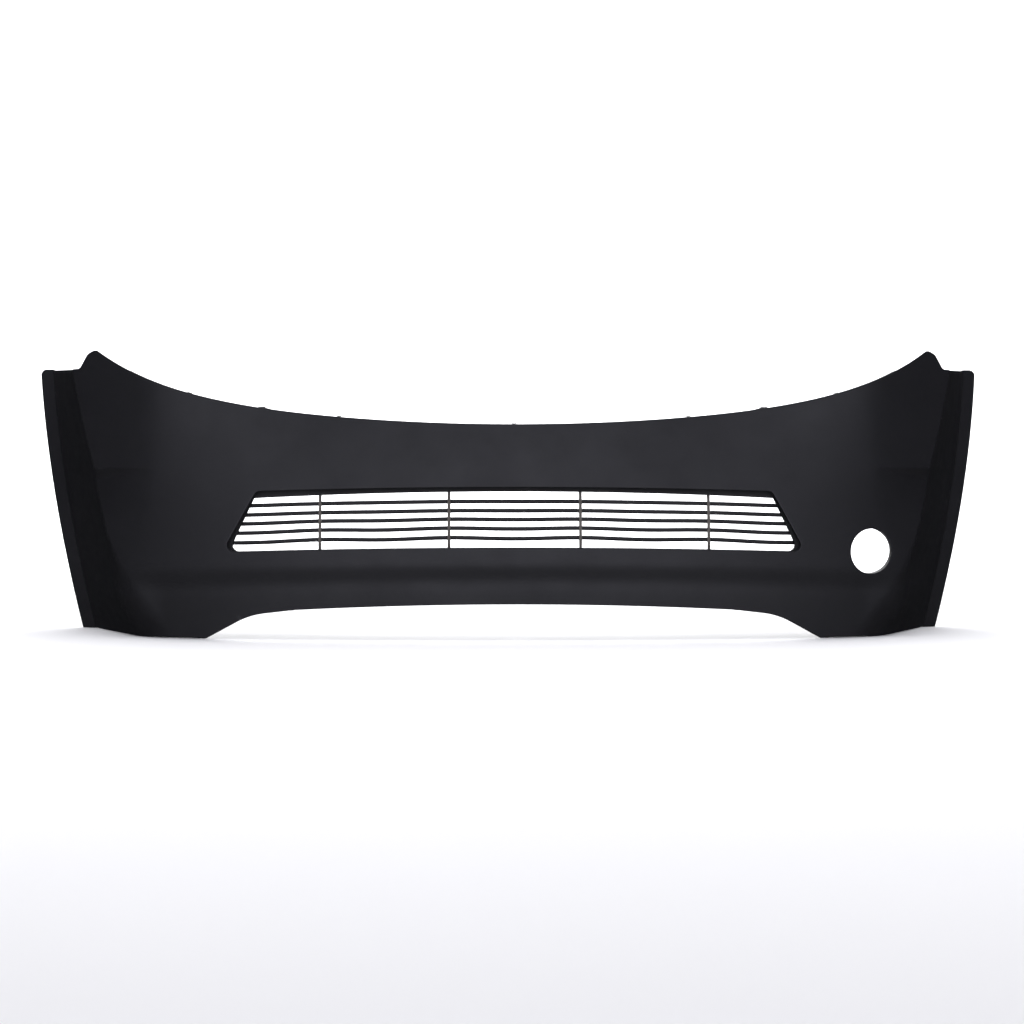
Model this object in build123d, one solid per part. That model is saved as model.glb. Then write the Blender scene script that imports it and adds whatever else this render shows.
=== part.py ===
from build123d import *

import math
import os

# A moulded front bumper cover with its lower grille, lamp sleeve, support rail and fasteners, in
# millimetres. X runs across the car, Y from the nose back towards the wheels, and Z up. The origin is on
# the floor, under the middle of the cover's outer box, and the cover stands on the lips of its two feet.

os.makedirs("parts", exist_ok=True)

# Whole cover
WIDTH = 1780.0
DEPTH = 580.0
SKIN = 3.2  # wall thickness of the moulding
HALF = WIDTH / 2
NOSE_Y = -DEPTH / 2
REAR_Y = DEPTH / 2

# Fore and aft shape of the face
NOSE_Z = 140.0  # height of the most forward line
TOP_Z = 370.3  # top edge at the middle
SWEEP_SQUARE = 125.0  # how far the face falls back at half the width: the square term
SWEEP_FOURTH = 160.0  # and the fourth power
LEAN_MIDDLE = 60.0  # how far the top edge leans back at the middle, and then at the corners
LEAN_CORNER = 17.0
LEAN_FADE = (340.0, 650.0)
TUCK = 21.0  # how far the face tucks in under the nose line
TUCK_Z = 94.0
TUCK_DROP = 15.0  # the tucked band runs lower towards the corners
TUCK_FADE = (600.0, 690.0)
UNDERCUT_SLOPE = 0.42  # the valance falls back below the tuck
UNDERCUT_EASE = 10.0  # height over which that begins

# Corner panels and the ledge below them
PANEL_X = 620.0  # where the corner panel begins to turn away
PANEL_TURN = 0.13
PANEL_EASE = 16.0
LEDGE_Z = 295.0  # sharp upper edge of the ledge
LEDGE_SPAN = 112.0  # the ledge grows to its full size over this width
LEDGE_HEIGHT = 21.0
LEDGE_STEP = 22.0  # how far the lower panel stands back
LEDGE_FADE = 130.0  # the step fades out downwards over this height

# Wheel-arch lips
LIP_TOP_Z = 483.0
LIP_TAPER = 96.0  # the lip's foot is this much nearer the middle than its top
LIP_BELLY = 4.0
ARCH_R = 700.0  # radius of the wheel arch, seen from the side
ARCH_Z = 95.0
FLARE_X = 27.0  # how far the lip stands out from the side wall, and over what length
FLARE_Y = 26.0
LIP_LAND = 8.0
RETURN = 24.0  # width of the flange turned in behind the lip
SMALL_R = 4.0

# Edges seen from the front
TOP_RISE = (77.0, 56.5)  # rise of the top edge from the middle to the tips: square term and high power
TIP_X = 734.0
TIP_R = 7.0
DIP = (775.0, 468.6)  # lowest point of the top edge between tip and lip
DIP_R = 8.0
ARCH_TOP = (62.0, 48.0)  # underside at the middle and at ARCH_X
ARCH_X = 430.0
SHOULDER_R = 60.0
FOOT_X = 531.0
TOE_R = 10.0
FOOT_LIP = 17.0  # width of the lip turned in along the floor
UNDER_LIP = 14.0  # and of the one along the underside

# Grille
GRILLE_TOP = (262.0, 255.0)  # height at the middle, then at the corner
GRILLE_LOW = (159.5, 151.5)
GRILLE_X = (438.0, 487.0)  # half width along the top and along the bottom
GRILLE_R = 11.0
COLLAR_DEPTH = 14.0
COLLAR_WALL = 3.0
FRAME_DROP = (7.7, 12.4)  # how far the frame's top bar hangs below the skin's edge
FRAME_DEPTH = 16.0
FRAME_FLANGE = 15.0
FLANGE_THICK = 3.0
BLADE_Z = (237.6, 222.0, 207.0, 191.3, 174.8)
BLADE_SAG = (0.2, 0.5, 1.2, 1.8, 2.2)
BLADE_THICK = 5.6
BLADE_BOW = 7.3
RIB_X = (-329.5, -111.0, 111.0, 329.5)
RIB_PITCH = 218.5
RIB_WIDTH = 5.2
GRILLE_BOSSES = [(-330, 1), (-110, 1), (110, 1), (330, 1), (-400, -1), (-135, -1), (135, -1), (400, -1)]
BOSS_R = 5.0
BOSS_OUT = 9.5  # bosses' distance outside the opening
BOSS_SHORT = 2.2  # how much shorter they are than the collar, because the face leans
ROOT = 1.5  # bosses and flanges begin this deep inside the skin

# Lamp sleeve
LAMP_X = 617.0
LAMP_Z = 151.0
LAMP_R = 39.0
SLEEVE_WALL = 3.0
SLEEVE_GAP = 2.0  # from the skin, which is thicker along the tube than square through
SLEEVE_REAR_Y = -135.0
LAMP_FLANGE_R = 54.0
LAMP_PCD = 96.0

# Top return flange, steel rail and its tabs
FLANGE_DEPTH = 30.0
FLANGE_DROP = 0.6  # it stands this much below the skin's own edge
FLANGE_REACH = TIP_X - 65
RAIL_THICK = 2.0
RAIL_NEAR = 8.0
RAIL_FAR = 38.0
RAIL_REACH = 620.0
RIVET_BACK = 19.0  # rivets' distance behind the face
RIVET_X = (-560.0, -300.0, 0.0, 300.0, 560.0)
RIVET_R = 2.4
TAB_X = (-450.0, -150.0, 150.0, 450.0)
TAB_SIZE = (54.0, 44.0)
TAB_BACK = 31.0  # the tabs' front edge, behind the face
TAB_HOLE_X = 13.0
TAB_HOLE_Y = 26.0
BOLT_R = 3.4  # clearance for M6
RETAINER_R = 4.0  # hole for a push-type retainer
PIN_R = 2.6
HEAD_R = 4.2  # heads of the small screws
HEAD_HEIGHT = 2.6
SOCKET_R = 1.5

# Side brackets, and the holes of the wheel-arch returns
BRACKET_Z = (424.0, 454.0)
BRACKET_THICK = 3.0
BRACKET_SHELF = 30.0
BRACKET_STAND = 8.0  # height of the bosses that it is screwed to
BRACKET_ENDS = (25.0, 18.0)  # how far it stops short of the corner and of the lip
BRACKET_SCREWS = (0.12, 0.5, 0.88)
NUT_Z = (90.0, 200.0, 310.0, 420.0)
NUT_INSET = 14.0
LINER_HOLE_R = 3.5
THREAD_R = 2.1  # M5 tapping radius
SCREW_R = 1.9
PILOT_R = 1.6
INSERT_R = 3.0

# Places of the grille's pieces behind the face
BLADE_NEAR = 18.0
BLADE_FAR = 29.5
RIB_NEAR = 15.0
RIB_FAR = 24.0

GAP = 0.5  # clearance between neighbouring pieces


def smooth(low, high, x):
    """0 below low, 1 above high, and an even S between them."""
    t = min(1.0, max(0.0, (x - low) / (high - low)))
    return t * t * (3 - 2 * t)


def eased(distance, width):
    """0 for a distance well below 0, the distance itself well above it, and a soft bend between."""
    return 0.5 * (distance + math.hypot(distance, width))


def base_y(x, z):
    """The face without its corner panels."""
    r = x / HALF
    lean = LEAN_MIDDLE + (LEAN_CORNER - LEAN_MIDDLE) * smooth(*LEAN_FADE, x)
    drop = TUCK_DROP * (x / TUCK_FADE[0]) ** 2
    low = TUCK_Z - drop
    tuck = TUCK * (1 - smooth(low, NOSE_Z - 0.7 * drop, z)) * (1 - 0.5 * smooth(*TUCK_FADE, x))
    y = NOSE_Y + SWEEP_SQUARE * r**2 + SWEEP_FOURTH * r**4
    y += lean * (max(0.0, z - NOSE_Z) / (TOP_Z - NOSE_Z)) ** 2
    return y + tuck + UNDERCUT_SLOPE * eased(low - z, UNDERCUT_EASE)


def face_y(x, z):
    """How far back the outer face is at a distance x from the middle and a height z."""
    x = abs(x)
    bend = x - PANEL_X
    turn = PANEL_TURN * eased(bend, PANEL_EASE)
    y = base_y(x, z)
    if z >= LEDGE_Z:
        return y + turn
    fade = math.exp((z - LEDGE_Z) / LEDGE_FADE)
    share = min(1.3, max(0.0, bend) / LEDGE_SPAN)
    if share == 0:
        return y + turn * fade
    t = min(1.0, (LEDGE_Z - z) / max(0.5, LEDGE_HEIGHT * share))
    return y + turn * fade + LEDGE_STEP * share * (1 - (1 - t) ** 1.8) * fade


def corner_x(z):
    """Where the face would meet the side wall if the corner were sharp."""
    return 643 + 0.41 * z - 0.00029 * z * z - 7 * smooth(LEDGE_Z - LEDGE_HEIGHT, LEDGE_Z, z)


def corner_r(z):
    """Radius of that corner: wide at the feet and crisp on the upper panel."""
    ledge = 1 - smooth(LEDGE_Z - 14, LEDGE_Z, z)
    return 5 + 9 * ledge + 116 * (1 - smooth(0, 200, z)) ** 1.2


def lip(z):
    """The outermost point of the flared wheel-arch lip."""
    share = z / LIP_TOP_Z
    x = HALF - LIP_TAPER * (1 - share) + LIP_BELLY * 4 * share * (1 - share)
    rearmost = math.sqrt(ARCH_R**2 - (LIP_TOP_Z - ARCH_Z) ** 2)
    return x, REAR_Y - math.sqrt(ARCH_R**2 - (z - ARCH_Z) ** 2) + rearmost


def direction(start, end):
    """Unit vector from one point of a plan to another."""
    length = math.dist(start, end)
    return (end[0] - start[0]) / length, (end[1] - start[1]) / length


def outward(along):
    """The skin's outward side for a path that runs from the middle round to the wheel arch."""
    return along[1], -along[0]


FACE_SHARES = (0, 0.15, 0.3, 0.45, 0.58, 0.69, 0.77, 0.83, 0.88, 0.92, 0.96, 1)


def skin_points(z):
    """Right half of the outer section at height z: the face, then the arcs round to the wheel arch.

    Every entry is a point with its outward normal, so the inner surface follows by moving each inwards.
    """
    radius = corner_r(z)
    end = corner_x(z) - 0.4 * radius
    face = []
    for share in FACE_SHARES:
        x = share * end
        slope = (face_y(x + 1, z) - face_y(x - 1, z)) / 2 if share < 1 else face_y(x, z) - face_y(x - 1, z)
        along = direction((0, 0), (1, slope))
        face.append(((x, face_y(x, z)), outward(along)))
    start = face[-1][0]

    lip_x, lip_y = lip(z)
    root = (lip_x - FLARE_X, lip_y - FLARE_Y)
    reach = 0.4 * radius
    for _ in range(12):
        corner = (start[0] + reach * along[0], start[1] + reach * along[1])
        wall = direction(corner, root)
        turn = math.acos(along[0] * wall[0] + along[1] * wall[1])
        reach = radius * math.tan(turn / 2)
    stops = [start, corner, root, (lip_x, lip_y - LIP_LAND), (lip_x, lip_y), (lip_x - RETURN, lip_y)]
    radii = [radius, SMALL_R, SMALL_R, SMALL_R]
    arcs = []
    for before, at, after, r in zip(stops, stops[1:], stops[2:], radii):
        into, out = direction(before, at), direction(at, after)
        cross = into[0] * out[1] - into[1] * out[0]
        turn = math.acos(into[0] * out[0] + into[1] * out[1])
        reach = r * math.tan(turn / 2)
        side = 1 if cross > 0 else -1
        first = (at[0] - reach * into[0], at[1] - reach * into[1])
        last = (at[0] + reach * out[0], at[1] + reach * out[1])
        before_normal, after_normal = outward(into), outward(out)
        middle_normal = direction((-before_normal[0], -before_normal[1]), after_normal)
        centre = (first[0] - side * r * before_normal[0], first[1] - side * r * before_normal[1])
        middle = (centre[0] + side * r * middle_normal[0], centre[1] + side * r * middle_normal[1])
        arcs.append([(first, before_normal), (middle, middle_normal), (last, after_normal)])
    return face, arcs, (stops[-1], outward(direction(stops[-2], stops[-1])))


def moved(entry, inset, z):
    """A section point moved inwards along its normal, as a point of space."""
    (x, y), (nx, ny) = entry
    return Vector(x - inset * nx, y - inset * ny, z)


def skin_edges(z, inset):
    """The edges of one side of the skin's section, from the middle to the end of the wheel-arch return."""
    face, arcs, end = skin_points(z)
    normal = face[-1][1]
    points = [moved(entry, inset, z) for entry in face]
    ends = [Vector(1, 0, 0), Vector(-normal[1], normal[0], 0)]
    edges = [Edge.make_spline(points, tangents=ends, parameters=FACE_SHARES)]
    last = points[-1]
    for arc in arcs:
        first, middle, after = [moved(entry, inset, z) for entry in arc]
        if (first - last).length > 0.001:
            edges.append(Edge.make_line(last, first))
        edges.append(Edge.make_three_point_arc(first, middle, after))
        last = after
    edges.append(Edge.make_line(last, moved(end, inset, z)))
    return edges, last


def skin_wire(z):
    outer, _ = skin_edges(z, 0)
    inner, _ = skin_edges(z, SKIN)
    joins = [
        Edge.make_line(outer[0] @ 0, inner[0] @ 0),
        Edge.make_line(outer[-1] @ 1, inner[-1] @ 1),
    ]
    return Wire(outer + inner + joins)


def both_sides(half):
    """A right half joined to its mirror image."""
    return half + mirror(half, Plane.YZ)


def half_slab(near, far, reach, heights):
    """Right half of a layer that follows the face, from near to far behind it, out to x = reach."""
    shares = [i / 12 for i in range(13)]
    wires = []
    for z in heights:
        front = [Vector(share * reach, face_y(share * reach, z) + near, z) for share in shares]
        back = [Vector(share * reach, face_y(share * reach, z) + far, z) for share in shares]
        edges = [
            Edge.make_spline(front, parameters=shares),
            Edge.make_line(front[-1], back[-1]),
            Edge.make_spline(back, parameters=shares),
            Edge.make_line(back[0], front[0]),
        ]
        wires.append(Wire(edges))
    return Solid.make_loft(wires)


def slab(near, far, reach, heights):
    return both_sides(half_slab(near, far, reach, heights))


def through(area, reach=400.0):
    """A front-view area cut or kept right through the cover."""
    return extrude(Plane.XZ * area, reach, both=True)


def bar(radius, start, end):
    """A round bar along a local frame's Z, from start to end."""
    return Pos(Z=start) * Cylinder(radius, end - start, align=(Align.CENTER, Align.CENTER, Align.MIN))


def rod(x, z, radius, start, end):
    """A round bar along Y from y = start to y = end."""
    return Pos(X=x, Z=z) * Rot(X=-90) * bar(radius, start, end)


def post(x, y, radius, start, end):
    """A round bar along Z from z = start to z = end."""
    return Pos(x, y) * bar(radius, start, end)


def write(shape, name):
    export_step(shape, f"parts/{name}.step")


def top_z(x):
    """Height of the cover's top edge, out to the tips beside the lamps."""
    share = abs(x) / TIP_X
    return TOP_Z + TOP_RISE[0] * share**2 + TOP_RISE[1] * share**6.5


def band(height, start, end, low, high):
    """Front-view strip between two shifts of a height curve."""
    xs = [start + (end - start) * i / 24 for i in range(25)]
    lower = [(x, height(x) + low) for x in xs]
    upper = [(x, height(x) + high) for x in xs]
    edges = [Spline(*lower), Line(lower[-1], upper[-1]), Spline(*upper), Line(upper[0], lower[0])]
    return make_face(edges)


def corners_at(area, x):
    """The corners of a front-view area at x and at -x."""
    return [corner for corner in area.vertices() if abs(abs(corner.X) - x) < 0.1]


def body_area():
    """Front view of the whole cover: its top edge and tips, and the dip and rise over each wheel arch."""
    xs = [TIP_X * i / 16 for i in range(-16, 17)]
    ridge = [(x, top_z(x)) for x in xs]
    beyond = HALF + 20
    side = [ridge[-1], (TIP_X + 22, 483), DIP, (850, 481), (868, LIP_TOP_Z)]
    side += [(beyond, LIP_TOP_Z), (beyond, -20)]
    left = [(-x, z) for x, z in side]
    area = make_face([Spline(*ridge), Polyline(*side, *reversed(left))])
    area = fillet(corners_at(area, TIP_X), TIP_R)
    return fillet(corners_at(area, DIP[0]), DIP_R)


def arch_line(x):
    """Height of the underside between the feet."""
    return ARCH_TOP[0] - (ARCH_TOP[0] - ARCH_TOP[1]) * (x / ARCH_X) ** 2


def arch_area():
    """Front view of the space under the cover, between its two feet."""
    xs = [ARCH_X * i / 6 for i in range(-6, 7)]
    arch = [(x, arch_line(x)) for x in xs]
    side = [arch[-1], (FOOT_X, 0), (FOOT_X + 40, 0), (FOOT_X + 40, -30)]
    left = [(-x, z) for x, z in side]
    area = make_face([Spline(*arch), Polyline(*side, *reversed(left))])
    area = fillet(corners_at(area, ARCH_X), SHOULDER_R)
    return fillet(corners_at(area, FOOT_X), TOE_R)


def grille_area(grow=0.0, drop=(0.0, 0.0)):
    """Front view of the grille opening, grown outwards, with its top edge lowered at middle and corners."""
    top, low = GRILLE_TOP, GRILLE_LOW
    edges = [
        ThreePointArc((-GRILLE_X[0], top[1]), (0, top[0]), (GRILLE_X[0], top[1])),
        Line((GRILLE_X[0], top[1]), (GRILLE_X[1], low[1])),
        ThreePointArc((GRILLE_X[1], low[1]), (0, low[0]), (-GRILLE_X[1], low[1])),
        Line((-GRILLE_X[1], low[1]), (-GRILLE_X[0], top[1])),
    ]
    area = make_face(edges)
    area = fillet(area.vertices(), GRILLE_R)
    if grow:
        area = offset(area, grow)
    if drop[0]:
        high = top[0] - drop[0]
        fall = top[0] - top[1] + drop[1] - drop[0]
        area -= band(lambda x: high - fall * (x / (GRILLE_X[0] + 6)) ** 2, -560, 560, 0, 60)
    return area


def grille_edge(x, side):
    """Height of the opening's top edge (side 1) or bottom edge (side -1)."""
    high, low = GRILLE_TOP if side > 0 else GRILLE_LOW
    span = GRILLE_X[0] if side > 0 else GRILLE_X[1]
    return high + (low - high) * (x / span) ** 2


FACE_HEIGHTS = (0, 18, 36, 54, 70, 82, 94, 104, 114, 124, 132, 140, 150, 162, *range(176, 275, 14))
LEDGE_HEIGHTS = (274, 277, 281, 285, 289, 292, 295)
PANEL_HEIGHTS = (295, 320, 350, 380, 410, 440, 465, 483, 506)
GRILLE_HEIGHTS = range(130, 291, 16)
TOP_HEIGHTS = range(350, 471, 20)


def boss_places():
    """Centres of the bosses that the grille frame is screwed to, with the face's place there."""
    places = []
    for x, side in GRILLE_BOSSES:
        z = grille_edge(x, side) + side * BOSS_OUT
        places.append((x, z, face_y(x, z)))
    return places


def make_half_fascia():
    """The right half of the moulding, without the lamp hole."""
    stretches = [FACE_HEIGHTS, LEDGE_HEIGHTS, PANEL_HEIGHTS]
    lofts = [Solid.make_loft([skin_wire(z) for z in heights]) for heights in stretches]
    half = lofts[0] + lofts[1] + lofts[2]
    half &= through(body_area())
    half -= through(arch_area())

    # Return flange along the top edge, lip along the underside and collar of the grille opening
    flange = half_slab(ROOT, FLANGE_DEPTH, FLANGE_REACH + 5, TOP_HEIGHTS)
    half += flange & through(band(top_z, -5, FLANGE_REACH, -SKIN - FLANGE_DROP, -FLANGE_DROP))
    lip_layer = half_slab(ROOT, UNDER_LIP, ARCH_X + 5, (30, 45, 60, 72))
    half += lip_layer & through(band(arch_line, -5, ARCH_X - 8, FLANGE_DROP, SKIN + FLANGE_DROP))
    collar = half_slab(ROOT, COLLAR_DEPTH, 520, GRILLE_HEIGHTS)
    half += collar & through(grille_area(COLLAR_WALL) - grille_area())
    for x, z, y in boss_places():
        if x > 0:
            half += rod(x, z, BOSS_R, y + ROOT, y + COLLAR_DEPTH - BOSS_SHORT)
            half -= rod(x, z, PILOT_R, y + 6.0, y + COLLAR_DEPTH + 1)
    half -= through(grille_area())

    # Foot: a lip turned in along the floor
    face, arcs, _ = skin_points(0)
    ring = [entry for entry in face if entry[0][0] > FOOT_X] + arcs[0] + [arcs[1][0]]
    outer = [(p[0] - 1.2 * n[0], p[1] - 1.2 * n[1]) for p, n in ring]
    inner = [(p[0] - FOOT_LIP * n[0], p[1] - FOOT_LIP * n[1]) for p, n in ring]
    half += extrude(make_face(Polyline(*outer, *reversed(inner), close=True)), SKIN)

    # Bosses for the side bracket, and holes for the rail's rivets and the wheel-arch liner's screws
    for place in bracket_screw_places():
        half += place * bar(BOSS_R, -SKIN - BRACKET_STAND, -ROOT)
        half -= place * bar(PILOT_R, -SKIN - BRACKET_STAND - 1, -SKIN)
    for x in RIVET_X:
        if x >= 0:
            half -= rail_spot(x) * bar(RIVET_R, -8, 8)
    for z in NUT_Z:
        half -= nut_spot(z) * bar(LINER_HOLE_R, -8, 5)
    return half


def make_fascia():
    fascia = both_sides(make_half_fascia())
    return fascia - rod(LAMP_X, LAMP_Z, LAMP_R, NOSE_Y, 0)


def make_grille_frame(blades, ribs):
    """The ring behind the opening, with pockets where the blades and ribs are held."""
    near = COLLAR_DEPTH + GAP
    deep = slab(near, COLLAR_DEPTH + FRAME_DEPTH, 540, GRILLE_HEIGHTS)
    thin = slab(near, near + FLANGE_THICK, 540, GRILLE_HEIGHTS)
    inner = grille_area(-0.5, FRAME_DROP)
    frame = deep & through(grille_area(2.5) - inner)
    frame += thin & through(grille_area(FRAME_FLANGE) - inner)
    for x, z, y in boss_places():
        frame -= rod(x, z, SCREW_R + 0.2, y, y + 60)
    for piece in blades + ribs:
        frame -= piece
    return frame


def blade_z(index, x):
    """Height of a blade's middle line: bowed down towards its ends, and sagging between the ribs."""
    sag = BLADE_SAG[index] * (1 - math.cos(2 * math.pi * (abs(x) - RIB_X[2]) / RIB_PITCH)) / 2
    return BLADE_Z[index] + BLADE_SAG[index] - BLADE_BOW * (x / GRILLE_X[0]) ** 2 - sag


def make_blade(index):
    """One horizontal blade; its ends stand in the frame's sides."""
    z = blade_z(index, GRILLE_X[0])
    share = (GRILLE_TOP[1] - z) / (GRILLE_TOP[1] - GRILLE_LOW[1])
    reach = GRILLE_X[0] + (GRILLE_X[1] - GRILLE_X[0]) * share + 1.5
    layer = slab(BLADE_NEAR, BLADE_FAR, reach, [BLADE_Z[index] + step for step in (-24, -12, 0, 12)])
    strip = band(lambda x: blade_z(index, x), -reach - 5, reach + 5, -BLADE_THICK / 2, BLADE_THICK / 2)
    return layer & through(strip)


def make_rib(x, blades):
    """One upright rib, notched over the blades; its ends stand in the frame's top and bottom bars."""
    top, low = grille_edge(x, 1), grille_edge(x, -1)
    heights = [low - 2 + (top - low + 4) * i / 6 for i in range(7)]
    front = [(face_y(x, z) + RIB_NEAR, z) for z in heights]
    back = [(face_y(x, z) + RIB_FAR, z) for z in reversed(heights)]
    side = make_face([Spline(*front), Line(front[-1], back[0]), Spline(*back), Line(back[-1], front[0])])
    rib = extrude(Plane.YZ.offset(x) * side, RIB_WIDTH / 2, both=True)
    for blade in blades:
        rib -= blade
    return rib


def make_sleeve():
    """The tube behind the lamp hole, with the flange that the lamp is screwed to."""
    front = slab(SKIN + SLEEVE_GAP, 140, LAMP_X + 70, (90, 110, 130, 150, 170, 190, 210))
    tube = rod(LAMP_X, LAMP_Z, LAMP_R + SLEEVE_WALL, NOSE_Y, SLEEVE_REAR_Y)
    tube &= front
    tube += rod(LAMP_X, LAMP_Z, LAMP_FLANGE_R, SLEEVE_REAR_Y - 3, SLEEVE_REAR_Y)
    for x, z in lamp_holes():
        tube += rod(x, z, 5.5, SLEEVE_REAR_Y - 9, SLEEVE_REAR_Y)
        tube -= rod(x, z, INSERT_R, SLEEVE_REAR_Y - 8, SLEEVE_REAR_Y + 1)
    return tube - rod(LAMP_X, LAMP_Z, LAMP_R, NOSE_Y, 0)


def lamp_holes():
    angles = [math.radians(90 + 120 * i) for i in range(3)]
    return [(LAMP_X + LAMP_PCD / 2 * math.cos(a), LAMP_Z + LAMP_PCD / 2 * math.sin(a)) for a in angles]


def make_inserts():
    """Threaded inserts of the lamp flange."""
    inserts = []
    for x, z in lamp_holes():
        start, end = SLEEVE_REAR_Y - 7.5, SLEEVE_REAR_Y
        inserts.append(rod(x, z, INSERT_R, start, end) - rod(x, z, THREAD_R, start - 1, end + 1))
    return inserts


def rail_spot(x):
    """Frame on the rail's middle line at x: Z is square to the rail, and X runs up the rail's slope."""
    z = tab_top(x) - RAIL_THICK / 2
    slope = (top_z(x + 1) - top_z(x - 1)) / 2
    origin = (x, face_y(x, z) + RIVET_BACK, z)
    return Plane(origin=origin, x_dir=(1, 0, slope), z_dir=(-slope, 0, 1)).location


def tab_top(x):
    """Height of the top of the level tab at x."""
    return top_z(x) - FLANGE_DROP - SKIN


def tab_front(x):
    return face_y(x, tab_top(x)) + TAB_BACK


def tab_hole(x, side):
    """Centre of a tab's bolt hole (side 1, further out) or retainer hole (side -1)."""
    return x + math.copysign(TAB_HOLE_X, x) * side, tab_front(x) + TAB_HOLE_Y


def make_rail():
    """Steel strip under the top return flange, with level tabs that are bolted to the front panel."""
    layer = slab(RAIL_NEAR, RAIL_FAR, RAIL_REACH, TOP_HEIGHTS)
    rail = layer & through(band(tab_top, -RAIL_REACH - 5, RAIL_REACH + 5, -RAIL_THICK, -0.02))
    width, length = TAB_SIZE
    for x in TAB_X:
        low, high = tab_top(x) - RAIL_THICK, tab_top(x)
        tab = Pos(x, tab_front(x) + length / 2, (low + high) / 2) * Box(width, length, RAIL_THICK)
        rear = [edge for edge in tab.edges().filter_by(Axis.Z) if edge.center().Y > tab_front(x) + 1]
        rail += fillet(rear, 8)
        rail -= post(*tab_hole(x, 1), BOLT_R, low - 5, high + 5)
        rail -= post(*tab_hole(x, -1), RETAINER_R, low - 5, high + 5)
    for x in RIVET_X:
        rail -= rail_spot(x) * bar(RIVET_R, -8, 8)
    return rail


def make_rail_rivets():
    """Blind rivets through the flange and the rail."""
    top = RAIL_THICK / 2 + SKIN
    rivet = bar(RIVET_R, -RAIL_THICK / 2 - 0.1, top + 0.1)
    rivet += bar(4.5, top + 0.1, top + 1.3)
    rivet += bar(3.6, -RAIL_THICK / 2 - 2.0, -RAIL_THICK / 2 - 0.1)
    return [rail_spot(x) * rivet for x in RIVET_X]


def make_grille_screws():
    """Self-tapping screws through the frame's flange into the bosses."""
    screws = []
    for x, z, y in boss_places():
        seat = y + COLLAR_DEPTH + GAP + FLANGE_THICK + BOSS_SHORT
        screw = rod(x, z, PILOT_R, y + 7, seat) + rod(x, z, HEAD_R, seat, seat + HEAD_HEIGHT)
        screws.append(screw - rod(x, z, SOCKET_R, seat + 0.8, seat + 4))
    return screws


def make_retainer_sleeve(x):
    """The split body of a push-type retainer: a flange over the tab, and legs that the pin spreads."""
    hole = tab_hole(x, -1)
    seat = tab_top(x)
    sleeve = post(*hole, 9, seat, seat + 1.6) + post(*hole, RETAINER_R - 0.1, seat - 11, seat)
    sleeve -= post(*hole, PIN_R + 0.06, seat - 12, seat + 4)
    centre = Pos(*hole, seat - 8)
    return sleeve - centre * Box(12, 1.2, 9) - centre * Box(1.2, 12, 9)


def make_retainer_pin(x):
    """The centre pin: a head to prise up, over a plain shank."""
    hole = tab_hole(x, -1)
    seat = tab_top(x) + 1.6
    return post(*hole, 6.5, seat + 0.1, seat + 1.7) + post(*hole, PIN_R, seat - 12.5, seat + 0.2)


def wall_ends(z):
    """Right side wall at height z: points over the bracket's two ends, and the wall's outward normal."""
    _, arcs, _ = skin_points(z)
    (start, normal), (end, _) = arcs[0][2], arcs[1][0]
    along = direction(start, end)
    first = (start[0] + BRACKET_ENDS[0] * along[0], start[1] + BRACKET_ENDS[0] * along[1])
    last = (end[0] - BRACKET_ENDS[1] * along[0], end[1] - BRACKET_ENDS[1] * along[1])
    return first, last, normal


def bracket_wire(z, outer, inner):
    first, last, (nx, ny) = wall_ends(z)
    corners = []
    for (x, y), inset in ((first, outer), (last, outer), (last, inner), (first, inner)):
        corners.append(Vector(x - inset * nx, y - inset * ny, z))
    return Wire(Polyline(*corners, close=True).edges())


def bracket_screw_places():
    """Frames on the right wall's outer surface over the bracket's screws, with Z square to the wall."""
    places = []
    z = sum(BRACKET_Z) / 2
    first, last, _ = wall_ends(z)
    below, _, _ = wall_ends(z - 5)
    along = Vector(last[0] - first[0], last[1] - first[1], 0)
    rise = Vector(first[0] - below[0], first[1] - below[1], 5)
    for share in BRACKET_SCREWS:
        origin = Vector(first[0], first[1], z) + along * share
        places.append(Plane(origin=origin, z_dir=along.cross(rise)).location)
    return places


def bracket_bolts():
    """Centres of the right shelf's bolt holes, in a line along the car."""
    first, last, (nx, ny) = wall_ends(BRACKET_Z[1])
    inset = SKIN + BRACKET_STAND + BRACKET_SHELF - 11
    y = (first[1] + last[1]) / 2
    x = (first[0] + last[0]) / 2 - inset * nx
    slope = (last[0] - first[0]) / (last[1] - first[1])
    return [(x + side * 50 * slope, y + side * 50 - inset * ny) for side in (-1, 1)]


def make_bracket():
    """Right bracket: a plate on the side wall's bosses and a level shelf with the wing's bolt holes."""
    low, high = BRACKET_Z
    near = SKIN + BRACKET_STAND + 0.1
    plate = Solid.make_loft([bracket_wire(z, near, near + BRACKET_THICK) for z in (low, high)], ruled=True)
    shelf = extrude(Face(bracket_wire(high, near, near + BRACKET_SHELF)), BRACKET_THICK, dir=(0, 0, 1))
    bracket = plate + shelf
    for hole in bracket_bolts():
        bracket -= post(*hole, BOLT_R, high - 5, high + 8)
    for place in bracket_screw_places():
        bracket -= place * bar(SCREW_R, -near - BRACKET_THICK - 2, -near + 1)
    return bracket


def make_bracket_screws():
    """Self-tapping screws from inside, through the right bracket into its bosses."""
    seat = SKIN + BRACKET_STAND + BRACKET_THICK + GAP
    screw = bar(PILOT_R, -seat, -SKIN - 1) + bar(HEAD_R, -seat - HEAD_HEIGHT, -seat)
    screw -= bar(SOCKET_R, -seat - 4, -seat - 0.8)
    return [place * screw for place in bracket_screw_places()]


def nut_spot(z):
    """Frame over the hole at height z of the right wheel-arch return, with its Z to the rear."""
    x, y = lip(z)
    slope = (lip(z + 1)[1] - lip(z - 1)[1]) / 2
    return Plane(origin=(x - NUT_INSET, y, z), x_dir=(1, 0, 0), z_dir=(0, 1, -slope)).location


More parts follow.
